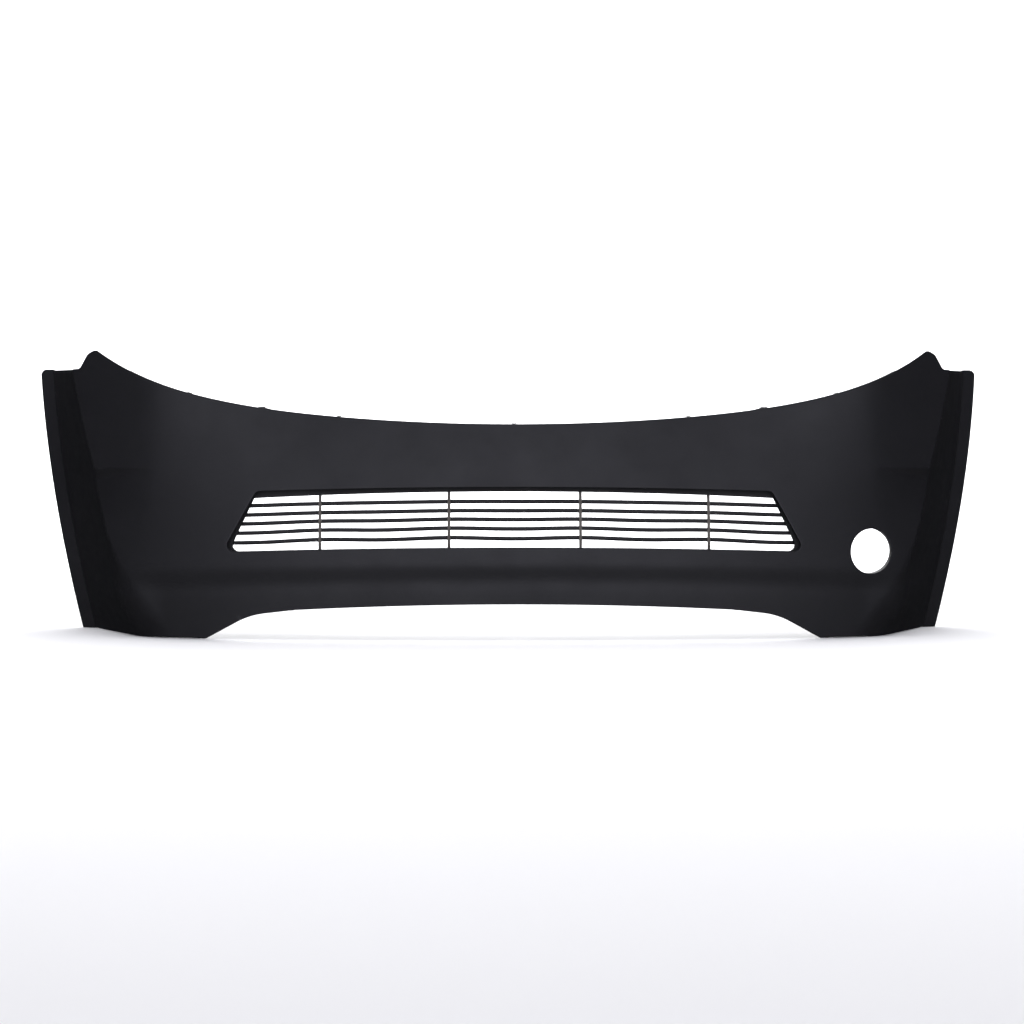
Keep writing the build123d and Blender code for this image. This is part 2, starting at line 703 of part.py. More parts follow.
def make_u_nuts():
    """Right wheel-arch return's U-nuts: a spring clip over the return's edge, with a nut barrel inside."""
    width, height = 15.0, 13.0
    near, far = GAP, SKIN + GAP
    edge = NUT_INSET - RETURN - 2.2
    middle = edge + width / 2
    clip = Pos(middle, 0, near + 0.5) * Box(width, height, 1.0)
    clip += Pos(middle, 0, -far - 0.5) * Box(width, height, 1.0)
    clip += Pos(edge - 0.5, 0, (near - far) / 2) * Box(1.0, height, far + near + 2)
    clip += bar(4.2, -far - 5.5, -far - 0.5)
    clip -= bar(THREAD_R, -far - 7, near + 2)
    return [nut_spot(z) * clip for z in NUT_Z]


def mirrored(solids):
    return [mirror(solid, Plane.YZ) for solid in solids]


write(make_fascia(), "fascia")
blades = [make_blade(i) for i in range(len(BLADE_Z))]
ribs = [make_rib(x, blades) for x in RIB_X]
write(make_grille_frame(blades, ribs), "grille_frame")
for number, blade in enumerate(blades, 1):
    write(blade, f"grille_blade_{number}")
for number, rib in enumerate(ribs, 1):
    write(rib, f"grille_rib_{number}")
write(make_sleeve(), "lamp_sleeve")
write(Compound(make_inserts()), "lamp_inserts")
write(make_rail(), "upper_rail")
write(Compound(make_rail_rivets()), "rail_rivets")
write(Compound(make_grille_screws()), "grille_screws")
for number, x in enumerate(TAB_X, 1):
    write(make_retainer_sleeve(x), f"retainer_sleeve_{number}")
    write(make_retainer_pin(x), f"retainer_pin_{number}")
bracket = make_bracket()
write(bracket, "fender_bracket_right")
write(mirror(bracket, Plane.YZ), "fender_bracket_left")
for name, solids in (("bracket_screws", make_bracket_screws()), ("arch_u_nuts", make_u_nuts())):
    write(Compound(solids), f"{name}_right")
    write(Compound(mirrored(solids)), f"{name}_left")
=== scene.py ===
import math

import bmesh
import bpy
import numpy as np
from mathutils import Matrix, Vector
from mathutils.geometry import delaunay_2d_cdt


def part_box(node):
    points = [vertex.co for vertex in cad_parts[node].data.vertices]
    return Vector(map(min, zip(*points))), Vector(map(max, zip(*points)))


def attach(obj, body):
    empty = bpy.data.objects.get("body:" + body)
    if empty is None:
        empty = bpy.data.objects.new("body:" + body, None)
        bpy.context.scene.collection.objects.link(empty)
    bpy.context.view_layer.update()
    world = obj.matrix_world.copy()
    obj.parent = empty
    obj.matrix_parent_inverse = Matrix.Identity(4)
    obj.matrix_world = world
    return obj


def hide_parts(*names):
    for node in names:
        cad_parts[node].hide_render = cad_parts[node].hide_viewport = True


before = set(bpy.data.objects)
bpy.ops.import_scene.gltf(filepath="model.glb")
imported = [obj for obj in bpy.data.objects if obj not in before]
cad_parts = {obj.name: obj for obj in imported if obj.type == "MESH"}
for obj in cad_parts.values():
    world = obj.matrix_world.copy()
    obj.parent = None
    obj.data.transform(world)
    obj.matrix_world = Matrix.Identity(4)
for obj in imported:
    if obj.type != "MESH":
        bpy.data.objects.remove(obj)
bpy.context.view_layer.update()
BODY = "cover"
MM = 0.001

# ---------------------------------------------------------------------------
# The cover's shape, in millimetres. The overall sizes come from the CAD box,
# and the laws below are the ones that the CAD model's sections follow, apart
# from a few that bring the crease, the ledge, the arch and the dip nearer to
# the photo.
# ---------------------------------------------------------------------------
HIGH_CORNER = np.array(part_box("fascia")[1]) / MM
HALF, REAR_Y = HIGH_CORNER[0], HIGH_CORNER[1]
NOSE_Y = -REAR_Y
SKIN = 3.2
NOSE_Z, TOP_Z = 140.0, 370.3
SWEEP_SQUARE, SWEEP_FOURTH = 125.0, 160.0
LEAN_MIDDLE, LEAN_CORNER, LEAN_FADE = 60.0, 17.0, (340.0, 650.0)
TUCK, TUCK_Z, TUCK_DROP, TUCK_FADE = 21.0, 94.0, 15.0, (600.0, 690.0)
UNDERCUT_SLOPE, UNDERCUT_EASE = 0.42, 10.0
PANEL_X, PANEL_TURN, PANEL_EASE = 620.0, 0.13, 16.0
LEDGE_Z, LEDGE_SPAN, LEDGE_HEIGHT, LEDGE_STEP, LEDGE_FADE = 295.0, 112.0, 21.0, 22.0, 130.0
LEDGE_EDGE = 1.3  # softness of the ledge's upper edge
UPPER_SPLAY = 0.085  # above the ledge, the corner's crease runs out this much more for each mm of height
LIP_TOP_Z, LIP_TAPER, LIP_BELLY = 483.0, 96.0, 4.0
ARCH_R, ARCH_Z = 700.0, 95.0
FLARE_X, FLARE_Y, LIP_LAND, RETURN, SMALL_R = 27.0, 26.0, 8.0, 24.0, 4.0
TOP_RISE, TIP_X = (77.0, 56.5), 734.0
LIP_CORNER = 10.0  # rounding of the lips' upper outer corners
DIP_FALL = ((765, 470.5), (750, 496))  # front view of the top edge's fall from the tip to the dip
DIP_RADII = (40, 10, 9, 16, 4)
ARCH_TOP, ARCH_X, FOOT_X = (62.0, 48.0), 430.0, 531.0
ARCH_END, SHOULDER, SHOULDER_R, TOE_R = 385.0, (452.0, 42.5), 140.0, 8.0
GRILLE_TOP, GRILLE_LOW, GRILLE_X = (262.0, 255.0), (159.5, 151.5), (438.0, 487.0)
OPENING_FOOT = 496.0  # half width of the skin's opening at its lower corners, just outside the frame's
OPENING_R = 11.0
LAMP_X, LAMP_Z, LAMP_R = 617.0, 151.0, 39.0
LAMP_HOLE_X, LAMP_HOLE_R = LAMP_X - 0.5, LAMP_R - 1.4  # the hole's middle and half width, a little narrower
FLANGE_REACH = TIP_X - 65

# Bosses: on the grille's edge as (x, above or below it), and along the side brackets
GRILLE_BOSSES = ((-330, 1), (-110, 1), (110, 1), (330, 1), (-400, -1), (-135, -1), (135, -1), (400, -1))
BOSS_R, BOSS_OUT, BOSS_ROOT, BOSS_BEVEL = 5.0, 9.5, 1.5, 0.5
GRILLE_BOSS_DEPTH, BRACKET_BOSS_DEPTH = 11.8, 11.2
BRACKET_Z, BRACKET_ENDS, BRACKET_SHARES = 439.0, (25.0, 18.0), (0.12, 0.5, 0.88)

# Stretches of the section, from the middle round to the wheel arch: where each one ends along the sheet
FACE, CORNER, WALL, ROOT, FLARE = 700.0, 760.0, 1040.0, 1046.0, 1072.0
EDGE_A, LAND, EDGE_B, BACK = 1076.0, 1079.0, 1085.0, 1103.0
FINE_FROM = 580.0  # the face's mesh is closer from here on, where its bend begins


def smooth(low, high, x):
    t = np.clip((x - low) / (high - low), 0, 1)
    return t * t * (3 - 2 * t)


def eased(distance, width):
    """0 well below a distance of 0, the distance itself well above it, and a soft bend between."""
    return 0.5 * (distance + np.hypot(distance, width))


def face_y(x, z):
    """How far back the outer face is; x and z may be arrays."""
    x, z = np.abs(np.asarray(x, float)), np.asarray(z, float)
    r = x / HALF
    lean = LEAN_MIDDLE + (LEAN_CORNER - LEAN_MIDDLE) * smooth(*LEAN_FADE, x)
    drop = TUCK_DROP * (x / TUCK_FADE[0]) ** 2
    low = TUCK_Z - drop
    y = NOSE_Y + SWEEP_SQUARE * r**2 + SWEEP_FOURTH * r**4
    y = y + lean * (np.maximum(0, z - NOSE_Z) / (TOP_Z - NOSE_Z)) ** 2
    y = y + TUCK * (1 - smooth(low, NOSE_Z - 0.7 * drop, z)) * (1 - 0.5 * smooth(*TUCK_FADE, x))
    y = y + UNDERCUT_SLOPE * eased(low - z, UNDERCUT_EASE)
    bend = x - PANEL_X
    fade = np.exp(np.minimum(0, z - LEDGE_Z) / LEDGE_FADE)
    below = LEDGE_Z - z
    turn = PANEL_TURN * eased(bend, PANEL_EASE + 1.2 * np.maximum(0, below)) * fade
    share = np.clip(bend / LEDGE_SPAN, 0, 1.3)
    below = eased(below, LEDGE_EDGE) - 0.25 * LEDGE_EDGE * np.exp(-np.abs(below) / 8)
    t = np.clip(below / np.maximum(0.5, LEDGE_HEIGHT * share), 0, 1)
    return y + turn + LEDGE_STEP * share**1.5 * (1 - (1 - t) ** 1.2) * fade


def corner_x(z):
    """Where the face meets the side wall, before the corner is rounded."""
    flank = 643 + 0.41 * z - 0.00029 * z * z - 7 * smooth(LEDGE_Z - LEDGE_HEIGHT, LEDGE_Z, z)
    return flank + UPPER_SPLAY * np.maximum(0, z - LEDGE_Z)


def corner_r(z):
    """Radius of the corner: tight above the ledge, a little wider below it, and broad near the foot."""
    ledge = 1 - smooth(LEDGE_Z - 14, LEDGE_Z, z)
    return 5 + 9 * ledge + 116 * (1 - smooth(0, 200, z)) ** 1.2


def lip(z):
    """Plan position of the lip's rear edge, which follows the wheel arch."""
    share = z / LIP_TOP_Z
    x = HALF - LIP_TAPER * (1 - share) + LIP_BELLY * 4 * share * (1 - share)
    back = np.sqrt(ARCH_R**2 - (z - ARCH_Z) ** 2) - math.sqrt(ARCH_R**2 - (LIP_TOP_Z - ARCH_Z) ** 2)
    return np.stack([x, REAR_Y - back], -1)


def unit(v):
    return v / np.maximum(1e-9, np.linalg.norm(v, axis=-1, keepdims=True))


def dot(a, b):
    return np.sum(a * b, axis=-1, keepdims=True)


def arc_point(before, at, after, radius, share):
    """A point of the arc that rounds a plan corner, and the arc's two ends."""
    into, out = unit(at - before), unit(after - at)
    turn = np.arccos(np.clip(dot(into, out), -1, 1))
    reach = radius * np.tan(turn / 2)
    first, last = at - reach * into, at + reach * out
    cross = into[:, :1] * out[:, 1:] - into[:, 1:] * out[:, :1]
    inside = np.sign(cross) * np.stack([-into[:, 1], into[:, 0]], -1)
    angle = share * turn
    return first + radius * (np.sin(angle) * into + (1 - np.cos(angle)) * inside), first, last


def surface(u, z):
    """Point of the outer sheet, for arrays of a distance u round the section and a height z."""
    u, z = np.broadcast_arrays(np.asarray(u, float), np.asarray(z, float))
    shape = u.shape
    u, z = u.ravel(), z.ravel()
    radius = corner_r(z)
    end = corner_x(z) - 0.4 * radius
    xf = np.minimum(u, FACE) / FACE * end
    face = np.stack([xf, face_y(xf, z)], -1)
    start = np.stack([end, face_y(end, z)], -1)
    slope = face_y(end, z) - face_y(end - 1, z)
    along = unit(np.stack([np.ones_like(slope), slope], -1))
    edge = lip(z)
    root = edge - [FLARE_X, FLARE_Y]
    reach = 0.4 * radius[:, None]
    for _ in range(12):
        corner = start + reach * along
        wall = unit(root - corner)
        reach = radius[:, None] * np.tan(np.arccos(np.clip(dot(along, wall), -1, 1)) / 2)
    land = edge - [0, LIP_LAND]
    tail = edge - [RETURN, 0]

    def share(low, high):
        return np.clip((u - low) / (high - low), 0, 1)[:, None]

    def run(a, b, low, high):
        return a + (b - a) * share(low, high)

    at_corner, _, corner_end = arc_point(start, corner, root, radius[:, None], share(FACE, CORNER))
    at_root, root_start, root_end = arc_point(corner, root, land, SMALL_R, share(WALL, ROOT))
    at_a, a_start, a_end = arc_point(root, land, edge, SMALL_R, share(FLARE, EDGE_A))
    at_b, b_start, b_end = arc_point(land, edge, tail, SMALL_R, share(LAND, EDGE_B))
    point = face
    for low, value in (
        (FACE, at_corner),
        (CORNER, run(corner_end, root_start, CORNER, WALL)),
        (WALL, at_root),
        (ROOT, run(root_end, a_start, ROOT, FLARE)),
        (FLARE, at_a),
        (EDGE_A, run(a_end, b_start, EDGE_A, LAND)),
        (LAND, at_b),
        (EDGE_B, run(b_end, tail, EDGE_B, BACK)),
    ):
        point = np.where((u > low)[:, None], value, point)
    return np.concatenate([point, z[:, None]], -1).reshape(shape + (3,))


def normal(u, z, step=0.6):
    across = surface(np.asarray(u) + step, z) - surface(np.maximum(np.asarray(u) - step, -5), z)
    rise = surface(u, np.asarray(z) + step) - surface(u, np.asarray(z) - step)
    return unit(np.cross(across, rise))


def sheet_u(x, z):
    """Where a front-view point of the face lies along the sheet."""
    return x * FACE / (corner_x(z) - 0.4 * corner_r(z))


def top_z(x):
    share = np.abs(x) / TIP_X
    return TOP_Z + TOP_RISE[0] * share**2 + TOP_RISE[1] * share**6.5


def arch_z(x):
    return ARCH_TOP[0] - (ARCH_TOP[0] - ARCH_TOP[1]) * (x / ARCH_X) ** 2


def rounded(points, radii, steps=7):
    """A polyline with its corners rounded."""
    points = [np.array(p, float) for p in points]
    path = [points[0]]
    for before, at, after, radius in zip(points, points[1:], points[2:], radii):
        into, out = unit(at - before), unit(after - at)
        turn = math.acos(float(np.clip(into @ out, -1, 1)))
        if radius == 0 or turn < 1e-3:
            path.append(at)
            continue
        reach = radius * math.tan(turn / 2)
        first = at - reach * into
        side = np.sign(into[0] * out[1] - into[1] * out[0]) * np.array([-into[1], into[0]])
        for i in range(steps + 1):
            angle = turn * i / steps
            path.append(first + radius * (math.sin(angle) * into + (1 - math.cos(angle)) * side))
    path.append(points[-1])
    return np.array(path)


def divided(stops, counts):
    """Values from the first stop to the last, with a number of even steps for each stretch."""
    parts = [np.linspace(a, b, count + 1)[1:] for a, b, count in zip(stops, stops[1:], counts)]
    return np.concatenate([stops[:1], *parts])


def spaced(path, step):
    """A polyline's points, with long runs divided."""
    out = [path[0]]
    for a, b in zip(path, path[1:]):
        count = max(1, int(round(np.linalg.norm(b - a) / step)))
        out += [a + (b - a) * i / count for i in range(1, count + 1)]
    return np.array(out)


def inset_path(path, amounts, closed=False):
    """A plan path moved to its left, by an amount for each point."""
    if closed:
        before, after = np.roll(path, 1, 0), np.roll(path, -1, 0)
    else:
        before, after = np.vstack([path[:1], path[:-1]]), np.vstack([path[1:], path[-1:]])
    a, b = unit(path - before), unit(after - path)
    if not closed:
        a[0], b[-1] = b[0], a[-1]
    left_a, left_b = np.stack([-a[:, 1], a[:, 0]], -1), np.stack([-b[:, 1], b[:, 0]], -1)
    mitre = left_a + left_b
    return path + mitre * (2 * np.asarray(amounts)[:, None] / np.maximum(1.0, dot(mitre, mitre)))


def inside(points, loop):
    """Which plan points a closed loop holds."""
    x, y = points[:, 0], points[:, 1]
    held = np.zeros(len(points), bool)
    for (x0, y0), (x1, y1) in zip(loop, np.roll(loop, -1, 0)):
        if y0 == y1:
            continue
        crosses = ((y0 > y) != (y1 > y)) & (x < (x1 - x0) * (y - y0) / (y1 - y0) + x0)
        held ^= crosses
    return held


# ---------------------------------------------------------------------------
# Mesh helpers
# ---------------------------------------------------------------------------
def add_mesh(name, points, faces, material):
    mesh = bpy.data.meshes.new(name)
    metres = [tuple(p) for p in np.asarray(points, float) * MM]
    mesh.from_pydata(metres, [], [tuple(map(int, f)) for f in faces])
    mesh.validate()
    mesh.materials.append(material)
    mesh.polygons.foreach_set("use_smooth", [True] * len(mesh.polygons))
    obj = bpy.data.objects.new(name, mesh)
    bpy.context.scene.collection.objects.link(obj)
    return obj


def rim_profile(p, n, t, radius):
    """Rounded plain edge, from the outer sheet round to the inner one."""
    points = []
    g = -n
    for i in range(1, 10):
        a = math.pi / 2 * i / 9
        points.append(p + radius * (math.sin(a) * t + (1 - math.cos(a)) * g))
    corner = points[-1] + (SKIN - 2 * radius) * g
    for i in range(0, 9):
        a = math.pi / 2 * i / 9
        points.append(corner + radius * (math.sin(a) * g - (1 - math.cos(a)) * t))
    return points


def flange_profile(p, n, t, g, radius, run):
    """Edge that turns into a return flange along g, with a rounded free edge, and comes back inside."""
    up = unit(g - dot(g, t) * t)
    turn = math.acos(float(np.clip(dot(g, t)[0], -1, 1)))
    points = []
    for i in range(1, 7):
        a = turn * i / 6
        points.append(p + radius * (math.sin(a) * t + (1 - math.cos(a)) * up))
    m = unit(-(t - dot(t, g) * g))
    nose = 0.8
    points.append(points[-1] + min(1.0, 0.3 * run) * g)
    end = points[5] + (run - nose) * g
    points.append(end - min(1.0, 0.3 * run) * g)
    for i in range(0, 4):
        a = math.pi / 2 * i / 3
        points.append(end + nose * (math.sin(a) * g + (1 - math.cos(a)) * m))
    corner = points[-1] + (SKIN - 2 * nose) * m
    for i in range(0, 4):
        a = math.pi / 2 * i / 3
        points.append(corner + nose * (math.sin(a) * m - (1 - math.cos(a)) * g))
    points.append(points[-1] - min(1.0, 0.3 * run) * g)
    back = points[5] + (SKIN + 0.3) * m + 1.2 * g
    points.append(back)
    return points


TAIL = (WALL, ROOT, FLARE, EDGE_A, LAND, EDGE_B, BACK)
TAIL_STEPS = (3, 7, 4, 1, 5, 5)


def underside():
    """Front view of the arch and of the shoulder down to the foot, and the same along the sheet."""
    shoulder = [(ARCH_END, arch_z(ARCH_END)), SHOULDER, (FOOT_X, 0), (FOOT_X + 40, 0)]
    shoulder = spaced(rounded(shoulder, [SHOULDER_R, TOE_R], 16), 5)
    arch = [(x, arch_z(x)) for x in np.linspace(0, ARCH_END - 4, 100)]
    front = np.array(arch + [tuple(p) for p in shoulder])
    return front, np.stack([sheet_u(front[:, 0], front[:, 1]), front[:, 1]], -1)


def lip_top(tail):
    """The lip's rounded upper edge, from the arch back to the wall."""
    back = tail[::-1][1:]
    beyond = (surface(back, LIP_TOP_Z)[:, 0] - (HALF - LIP_CORNER)) / LIP_CORNER
    beyond = np.clip(beyond, 0, 0.98)
    return np.stack([back, LIP_TOP_Z - LIP_CORNER * (1 - np.sqrt(1 - beyond**2))], -1)


def fascia_outline():
    """The right half's edge on the sheet, from the underside's middle to the top's middle, with its kinds."""
    front, low = underside()
    tail = divided(TAIL, TAIL_STEPS)[1:]
    floor = divided((low[-1][0], CORNER, WALL), (69, 59))[1:]
    floor = np.concatenate([floor, tail])
    under_kinds = ["foot" if x >= FOOT_X + 12 else "arch" if x < ARCH_END - 8 else "rim" for x, _ in front]
    floor_kinds = ["foot" if u < WALL - 2 else "rim" for u in floor]
    free = np.stack([np.full(90, BACK), np.linspace(0, LIP_TOP_Z, 91)[1:]], -1)
    over = lip_top(tail)[:-1]
    tip = (float(sheet_u(TIP_X, top_z(TIP_X) - 3)), top_z(TIP_X))
    ridge = np.linspace(TIP_X - 14, 0, 190)
    top = np.stack([sheet_u(ridge, top_z(ridge)), top_z(ridge)], -1)
    fall = [(float(sheet_u(x, z)), z) for x, z in DIP_FALL]
    dip = [(WALL, LIP_TOP_Z - 0.5), (WALL - 12, 480.5), (CORNER + 6, 469.2), *fall, tip, tuple(top[0])]
    dip = spaced(rounded(dip, DIP_RADII, 8), 5)[:-1]
    path = [low, np.stack([floor, 0 * floor], -1), free, over, dip, top]
    kinds = under_kinds + floor_kinds + ["rim"] * (len(free) + len(over) + len(dip))
    kinds += ["top" if x < FLANGE_REACH else "rim" for x in ridge]
    return np.vstack(path), kinds


def grille_outline():
    """Right half of the grille opening, from its top's middle round to its underside's middle."""
    def edge(high, low, span, x):
        return high + (low - high) * (x / span) ** 2

    reach, foot = GRILLE_X[0], OPENING_FOOT
    top = [(x, edge(*GRILLE_TOP, reach, x)) for x in np.linspace(0, reach - 14, 60)]
    low = [(x, edge(*GRILLE_LOW, foot, x)) for x in np.linspace(foot - 24, 0, 66)]
    corners = [top[-1], (reach, GRILLE_TOP[1]), (foot, GRILLE_LOW[1]), low[0]]
    turn = spaced(rounded(corners, [OPENING_R, OPENING_R], 8), 5)
    return np.array(top[:-1] + [tuple(p) for p in turn] + low[1:])


KINDS = {
    # kind: inset of the sheet's edge, flange run
    "rim": (1.0, 0.0),
    "top": (2.6, 27.0),
    "arch": (2.6, 11.5),
    "foot": (3.0, 14.0),
    "grille": (1.5, 12.5),
    "lamp": (1.1, 2.4),
}


GRID_STOPS = (0, FINE_FROM, FACE, CORNER, *TAIL)
GRID_STEPS = (91, 29, 12, 31, 3, 4, 4, 1, 5, 3)
EVEN_ROWS = (*np.arange(6, 268, 6.0), *np.arange(300, 506, 6.0))
LEDGE_ROWS = (*np.arange(268, 291, 2.0), 291.5, 292.6, 293.5, 294.2, 294.8, 295.3, 296, 297)
COARSE_ROWS = (270, 276, 282, 288, 294)


def sheet_chains(with_lamp):
    """The sheet's edges as (points, kinds, closed), moved in from the finished edge by their rounding."""
    outline, kinds = fascia_outline()
    rim = inset_path(outline, [KINDS[kind][0] for kind in kinds])
    opening = grille_outline()
    flat = np.stack([sheet_u(opening[:, 0], opening[:, 1]), opening[:, 1]], -1)
    # the opening's path runs clockwise round the hole, so the sheet is on its left
    hole = inset_path(flat, np.full(len(flat), KINDS["grille"][0]))
    for path in (rim, hole):
        path[[0, -1], 0] = 0
    chains = [(rim, kinds, False), (hole, ["grille"] * len(hole), False)]
    if with_lamp:
        angles = np.linspace(0, -2 * math.pi, 97)[:-1]
        x = LAMP_HOLE_X + (LAMP_HOLE_R + KINDS["lamp"][0]) * np.cos(angles)
        z = LAMP_Z + (LAMP_R + KINDS["lamp"][0]) * np.sin(angles)
        chains.append((np.stack([sheet_u(x, z), z], -1), ["lamp"] * len(angles), True))
    return chains


def past_middle(path):
    """An open chain, closed just past the middle line."""
    return np.vstack([path, [(-1, path[-1][1]), (-1, path[0][1])]])


def in_sheet(points, rim, chains):
    """Which flat points are inside the rim and outside the openings."""
    held = inside(points, rim) & ~inside(points, past_middle(chains[1][0]))
    for path, _, _ in chains[2:]:
        held &= ~inside(points, path)
    return held


def sheet_grid(chains):
    """Flat points inside the sheet, closer together where it bends more, and clear of its edges."""
    us = divided(GRID_STOPS, GRID_STEPS)[:-1]
    grid = [(u, z) for u in us for z in EVEN_ROWS]
    grid += [(u, z) for u in us for z in (LEDGE_ROWS if 585 < u <= CORNER + 20 else COARSE_ROWS)]
    grid = np.array(grid)
    grid = grid[in_sheet(grid, chains[0][0], chains)]
    near = np.full(len(grid), np.inf)
    for path, _, _ in chains:
        for point in path:
            near = np.minimum(near, np.hypot(*(grid - point).T))
    return grid[(near > 1.9) | ((near > 0.9) & (grid[:, 0] > WALL))]


def triangulated(chains):
    """The sheet's flat points and triangles, and which points each chain has."""
    verts = [Vector(p) for path, _, _ in chains for p in path] + [Vector(p) for p in sheet_grid(chains)]
    links, base = [], 0
    for path, _, closed in chains:
        count = len(path)
        links += [(base + i, base + i + 1) for i in range(count - 1)]
        if closed:
            links.append((base + count - 1, base))
        base += count
    flat, _, faces, origin, _, _ = delaunay_2d_cdt(verts, links, [], 0, 1e-4)
    flat = np.array([tuple(p) for p in flat])
    index = {old: new for new, olds in enumerate(origin) for old in olds}
    faces = np.array([face for face in faces if len(face) == 3])
    faces = faces[in_sheet(flat[faces].mean(1), past_middle(chains[0][0]), chains)]
    a, b, c = (flat[faces[:, i]] for i in range(3))
    area = (b - a)[:, 0] * (c - a)[:, 1] - (b - a)[:, 1] * (c - a)[:, 0]
    full = np.abs(area) > 1e-6
    faces, area = faces[full], area[full]
    faces[area < 0] = faces[area < 0][:, ::-1]
    ids, base = [], 0
    for path, _, _ in chains:
        ids.append([index[base + i] for i in range(len(path))])
        base += len(path)
    return flat, faces, ids


def off_edge(p, n, closed):
    """Unit vectors along the sheet and square to its edge, that point off it."""
    before, after = np.roll(p, 1, 0), np.roll(p, -1, 0)
    if not closed:
        before[0] = [-abs(p[1][0]), p[1][1], p[1][2]]
        after[-1] = [-abs(p[-2][0]), p[-2][1], p[-2][2]]
    return unit(np.cross(unit(after - before), n))


def edge_profile(kind, p, n, t):
    """One edge point's profile, by the kind of its edge."""
    radius, run = KINDS[kind]
    if kind == "rim":
        return rim_profile(p, n, t, radius)
    g = unit(-n * [1, 1, 0]) if kind == "foot" else np.array([0.0, 1.0, 0.0])
    return flange_profile(p, n, t, g, radius, run)


def sheet_half(with_lamp):
    """Points and faces of the right half of the moulding: outer and inner sheets, joined by their edges."""
    chains = sheet_chains(with_lamp)
    flat, faces, chain_ids = triangulated(chains)
    u, z = flat[:, 0], flat[:, 1]
    outer_points = surface(u, z)
    normals = normal(u, z)
    wide = normal(u, z, 4.0)
    seam = np.abs(u) < 1e-6
    for field in (outer_points, normals, wide):
        field[seam, 0] = 0
    count = len(outer_points)
    points = [outer_points, outer_points - SKIN * unit(wide)]
    polys = [tuple(f) for f in faces] + [tuple(f[::-1] + count) for f in faces]

    total = 2 * count
    for (path, kinds, closed), ids in zip(chains, chain_ids):
        p, n = outer_points[ids], normals[ids]
        t = off_edge(p, n, closed)
        rings = np.array([edge_profile(kind, p[i], n[i], t[i]) for i, kind in enumerate(kinds)])
        if not closed:
            rings[[0, -1], :, 0] = 0
        size = rings.shape[1]
        points.append(rings.reshape(-1, 3))
        for i in range(len(path) if closed else len(path) - 1):
            j = (i + 1) % len(path)
            here = [ids[i]] + [total + i * size + k for k in range(size)] + [ids[i] + count]
            there = [ids[j]] + [total + j * size + k for k in range(size)] + [ids[j] + count]
            polys += [(here[k + 1], there[k + 1], there[k], here[k]) for k in range(size + 1)]
        total += len(path) * size
    points = np.vstack(points)
    points[:, 2] = np.clip(points[:, 2], 0, HIGH_CORNER[2])  # the feet are cut level
    return points, polys


def boss(foot, tip, sides=20):
    """A closed round post, with a small bevel at its free end, as points and faces."""
    foot, tip = np.array(foot, float), np.array(tip, float)
    along = unit(tip - foot)
    side = unit(np.cross(along, [0.0, 0.0, 1.0]))
    other = np.cross(along, side)
    points = []
    for centre, r in ((foot, BOSS_R), (tip - BOSS_BEVEL * along, BOSS_R), (tip, BOSS_R - BOSS_BEVEL)):
        for a in np.linspace(0, 2 * math.pi, sides, endpoint=False):
            points.append(centre + r * (math.cos(a) * side + math.sin(a) * other))
    faces = [tuple(range(sides))[::-1], tuple(range(2 * sides, 3 * sides))]
    for ring in (0, sides):
        for i in range(sides):
            j = (i + 1) % sides
            faces.append((ring + i, ring + j, ring + sides + j, ring + sides + i))
    return np.array(points), faces


def bosses():
    """The posts that the grille frame and the side brackets are screwed to."""
    posts = []
    for x, side in GRILLE_BOSSES:
        z = float(grille_edge(x, side)) + side * BOSS_OUT
        y = float(face_y(x, z))
        posts.append(((x, y + BOSS_ROOT, z), (x, y + GRILLE_BOSS_DEPTH, z)))
    near, far = surface(CORNER, BRACKET_Z), surface(WALL, BRACKET_Z)
    along = unit(far - near)
    first, last = near + BRACKET_ENDS[0] * along, far - BRACKET_ENDS[1] * along
    rise = surface(CORNER, BRACKET_Z) - surface(CORNER, BRACKET_Z - 5)
    outward = unit(np.cross(along, rise))
    for share in BRACKET_SHARES:
        spot = first + share * (last - first)
        foot, tip = spot - BOSS_ROOT * outward, spot - BRACKET_BOSS_DEPTH * outward
        posts.append((foot, tip))
        posts.append((foot * [-1, 1, 1], tip * [-1, 1, 1]))
    return posts


def make_fascia_mesh(material):
    right_points, right_faces = sheet_half(True)
    left_points, left_faces = sheet_half(False)
    left_points = left_points * [-1, 1, 1]
    left_faces = [tuple(reversed(f)) for f in left_faces]
    points, faces = [right_points, left_points], list(right_faces)
    faces += [tuple(i + len(right_points) for i in f) for f in left_faces]
    for foot, tip in bosses():
        shift = sum(map(len, points))
        boss_points, boss_faces = boss(foot, tip)
        points.append(boss_points)
        faces += [tuple(i + shift for i in f) for f in boss_faces]
    obj = add_mesh("fascia_moulding", np.vstack(points), faces, material)
    work = bmesh.new()
    work.from_mesh(obj.data)
    seam = [v for v in work.verts if abs(v.co.x) < 1e-7]
    bmesh.ops.remove_doubles(work, verts=seam, dist=2e-5)
    bmesh.ops.dissolve_degenerate(work, edges=work.edges, dist=1e-7)
    work.to_mesh(obj.data)
    work.free()
    return obj


